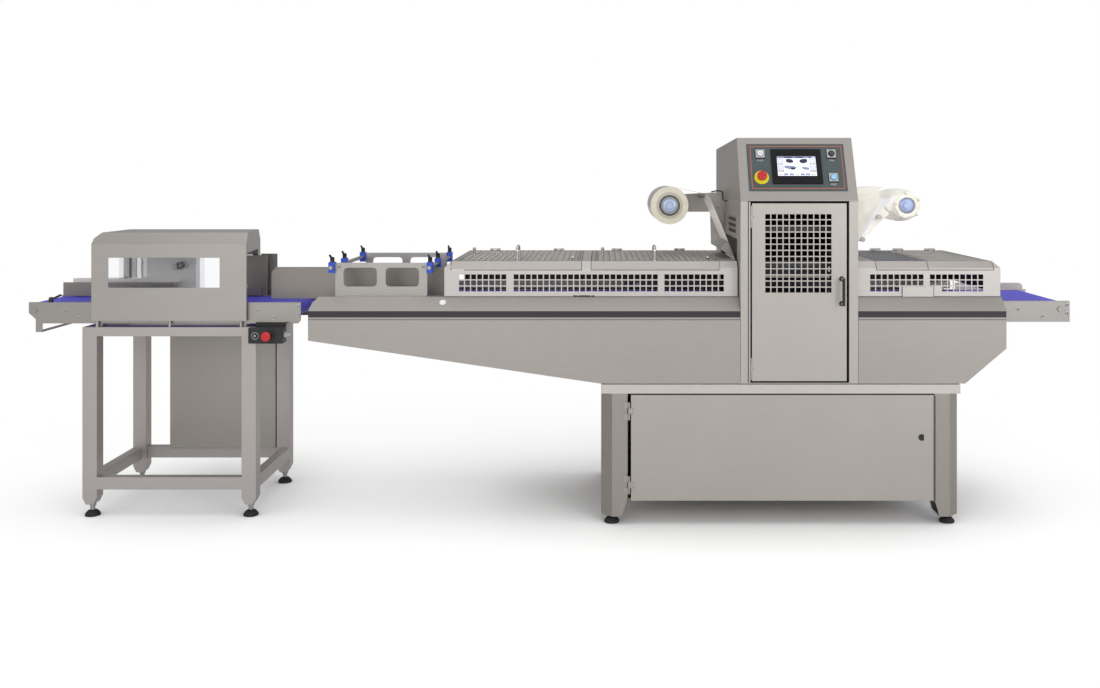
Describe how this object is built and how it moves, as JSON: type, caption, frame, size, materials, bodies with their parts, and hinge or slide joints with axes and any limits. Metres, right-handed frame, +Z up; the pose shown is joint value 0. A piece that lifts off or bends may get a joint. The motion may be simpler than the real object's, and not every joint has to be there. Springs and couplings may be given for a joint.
{
  "type": "tray sealer",
  "caption": "In-line tray sealer with perforated guards, a tilted control head, film reels, blue belts and a hooded infeed conveyor module.",
  "frame": {"origin": "centre of the bounding box in X and Y, on the floor", "axes": "X along the line from infeed to outfeed, Y from the front to the back, Z up"},
  "size_m": [4.3903, 0.974, 1.583],
  "materials": {
    "body_steel": "satin brushed",
    "leg_steel": "brushed",
    "rail_steel": "satin",
    "aluminium": "anodised",
    "chrome": "polished",
    "teal_paint": "matt",
    "black_plastic": "moulded",
    "black_rubber": "matt",
    "belt_blue": "textured",
    "clamp_blue": "satin",
    "yellow_plastic": "gloss",
    "red_plastic": "gloss",
    "white_plastic": "gloss",
    "blue_lens": "gloss",
    "film": "thin film",
    "scrap_film": "thin film",
    "clear_plastic": "clear",
    "grey_paint": "matt",
    "motor_paint": "matt"
  },
  "bodies": {
    "machine": {"body_panels": "body_steel", "belly_pan": "body_steel", "tower_column": "body_steel", "control_head": "body_steel", "control_plate": "teal_paint", "touch_terminal": "black_plastic", "button_bezels": "chrome", "stop_collars": "yellow_plastic", "door_seal": "black_rubber", "fixed_hinges": "rail_steel", "press_frame": "rail_steel", "left_guard": "body_steel", "right_guard": "body_steel", "reel_arms": "rail_steel", "film_webs": "film", "base_frame": "leg_steel", "base_cabinet": "leg_steel", "control_gear": "grey_paint", "drive_motors": "motor_paint", "levelling_feet": "black_plastic", "main_conveyor": "rail_steel", "main_belt": "belt_blue", "outfeed_conveyor": "rail_steel", "outfeed_belt": "belt_blue", "infeed_station": "rail_steel", "end_clamps": "clamp_blue", "stand_frame": "body_steel", "stand_cabinet": "body_steel", "infeed_conveyor": "rail_steel", "infeed_belt": "belt_blue", "hood": "body_steel", "hood_window": "clear_plastic", "lane_plates": "rail_steel", "switch_box": "black_plastic"},
    "tower_door": {"tower_door": "body_steel", "door_handle": "black_plastic"},
    "cabinet_door": {"cabinet_door": "leg_steel"},
    "cabinet_lock": {"cabinet_lock": "chrome"},
    "start_button": {"start_button": "white_plastic"},
    "stop_button": {"stop_button": "black_plastic"},
    "reset_button": {"reset_button": "blue_lens"},
    "panel_stop": {"panel_stop": "red_plastic"},
    "stand_button": {"stand_button": "black_plastic"},
    "stand_stop": {"stand_stop": "red_plastic"},
    "left_lid_1": {"left_lid_1": "body_steel"},
    "left_lid_2": {"left_lid_2": "body_steel"},
    "right_lid_1": {"right_lid_1": "clear_plastic"},
    "right_lid_2": {"right_lid_2": "body_steel"},
    "film_reel": {"film_reel": "film"},
    "scrap_rewinder": {"scrap_rewinder": "scrap_film"},
    "lower_tool": {"lower_tool": "aluminium"},
    "sealing_head": {"sealing_head": "aluminium"},
    "front_gripper": {"front_gripper": "aluminium"},
    "rear_gripper": {"rear_gripper": "aluminium"},
    "lane_guide": {"lane_guide": "rail_steel"},
    "infeed_roller": {"infeed_roller": "rail_steel"},
    "main_roller": {"main_roller": "rail_steel"},
    "outfeed_roller": {"outfeed_roller": "rail_steel"},
    "star_knob": {"star_knob": "black_plastic"},
    "clamp_lever": {"clamp_lever": "black_plastic"}
  },
  "joints": [
    {"name": "tower_door_hinge", "type": "hinge", "parent": "machine", "child": "tower_door", "pos_m": [0.819, -0.443, 0.948], "axis": [0, 0, -1], "range_deg": [0, 110]},
    {"name": "cabinet_door_hinge", "type": "hinge", "parent": "machine", "child": "cabinet_door", "pos_m": [0.3205, -0.448, 0.3135], "axis": [0, 0, -1], "range_deg": [0, 110]},
    {"name": "cabinet_lock_turn", "type": "hinge", "parent": "cabinet_door", "child": "cabinet_lock", "pos_m": [1.5145, -0.443, 0.3566], "axis": [0, 1, 0], "range_deg": [0, 90]},
    {"name": "start_button_press", "type": "slide", "parent": "machine", "child": "start_button", "axis": [0, 0.9026, -0.4306], "range_m": [0, 0.003], "stiffness_N_per_m": 400, "springref_m": -0.003},
    {"name": "stop_button_press", "type": "slide", "parent": "machine", "child": "stop_button", "axis": [0, 0.9026, -0.4306], "range_m": [0, 0.003], "stiffness_N_per_m": 400, "springref_m": -0.003},
    {"name": "reset_button_press", "type": "slide", "parent": "machine", "child": "reset_button", "axis": [0, 0.9026, -0.4306], "range_m": [0, 0.003], "stiffness_N_per_m": 400, "springref_m": -0.003},
    {"name": "panel_stop_press", "type": "slide", "parent": "machine", "child": "panel_stop", "axis": [0, 0.9026, -0.4306], "range_m": [0, 0.005], "stiffness_N_per_m": 400, "springref_m": -0.003},
    {"name": "stand_button_press", "type": "slide", "parent": "machine", "child": "stand_button", "axis": [0, 1, 0], "range_m": [0, 0.003], "stiffness_N_per_m": 400, "springref_m": -0.003},
    {"name": "stand_stop_press", "type": "slide", "parent": "machine", "child": "stand_stop", "axis": [0, 1, 0], "range_m": [0, 0.005], "stiffness_N_per_m": 400, "springref_m": -0.003},
    {"name": "left_lid_1_hinge", "type": "hinge", "parent": "machine", "child": "left_lid_1", "pos_m": [-0.1545, 0.294, 1.074], "axis": [-1, 0, 0], "range_deg": [0, 100]},
    {"name": "left_lid_2_hinge", "type": "hinge", "parent": "machine", "child": "left_lid_2", "pos_m": [0.4255, 0.294, 1.074], "axis": [-1, 0, 0], "range_deg": [0, 10]},
    {"name": "right_lid_1_hinge", "type": "hinge", "parent": "machine", "child": "right_lid_1", "pos_m": [1.4095, 0.294, 1.074], "axis": [-1, 0, 0], "range_deg": [0, 7]},
    {"name": "right_lid_2_hinge", "type": "hinge", "parent": "machine", "child": "right_lid_2", "pos_m": [1.6945, 0.294, 1.074], "axis": [-1, 0, 0], "range_deg": [0, 12]},
    {"name": "film_reel_spin", "type": "hinge", "parent": "machine", "child": "film_reel", "pos_m": [0.5015, -0.031, 1.296], "axis": [0, 1, 0], "continuous": true},
    {"name": "scrap_rewinder_spin", "type": "hinge", "parent": "machine", "child": "scrap_rewinder", "pos_m": [1.5195, -0.031, 1.296], "axis": [0, 1, 0], "continuous": true},
    {"name": "lower_tool_lift", "type": "slide", "parent": "machine", "child": "lower_tool", "axis": [0, 0, 1], "range_m": [0, 0.1]},
    {"name": "sealing_head_press", "type": "slide", "parent": "machine", "child": "sealing_head", "axis": [0, 0, -1], "range_m": [0, 0.012]},
    {"name": "front_gripper_open", "type": "slide", "parent": "machine", "child": "front_gripper", "axis": [0, -1, 0], "range_m": [0, 0.025]},
    {"name": "rear_gripper_open", "type": "slide", "parent": "machine", "child": "rear_gripper", "axis": [0, 1, 0], "range_m": [0, 0.025]},
    {"name": "lane_guide_shift", "type": "slide", "parent": "machine", "child": "lane_guide", "axis": [0, 1, 0], "range_m": [-0.06, 0.06]},
    {"name": "infeed_roller_spin", "type": "hinge", "parent": "machine", "child": "infeed_roller", "pos_m": [-2.1685, -0.181, 0.8597], "axis": [0, 1, 0], "continuous": true},
    {"name": "main_roller_spin", "type": "hinge", "parent": "machine", "child": "main_roller", "pos_m": [-0.9075, -0.031, 0.8597], "axis": [0, 1, 0], "continuous": true},
    {"name": "outfeed_roller_spin", "type": "hinge", "parent": "machine", "child": "outfeed_roller", "pos_m": [2.1495, -0.031, 0.8597], "axis": [0, 1, 0], "continuous": true},
    {"name": "star_knob_turn", "type": "hinge", "parent": "machine", "child": "star_knob", "pos_m": [-1.6715, -0.013, 1.022], "axis": [0, -1, 0], "continuous": true},
    {"name": "clamp_lever_turn", "type": "hinge", "parent": "machine", "child": "clamp_lever", "pos_m": [-2.1015, -0.316, 0.893], "axis": [0, 0, 1], "range_deg": [-60, 60]}
  ],
  "couplings": [
    {"joint": "rear_gripper_open", "follows": "front_gripper_open", "ratio": 1}
  ]
}
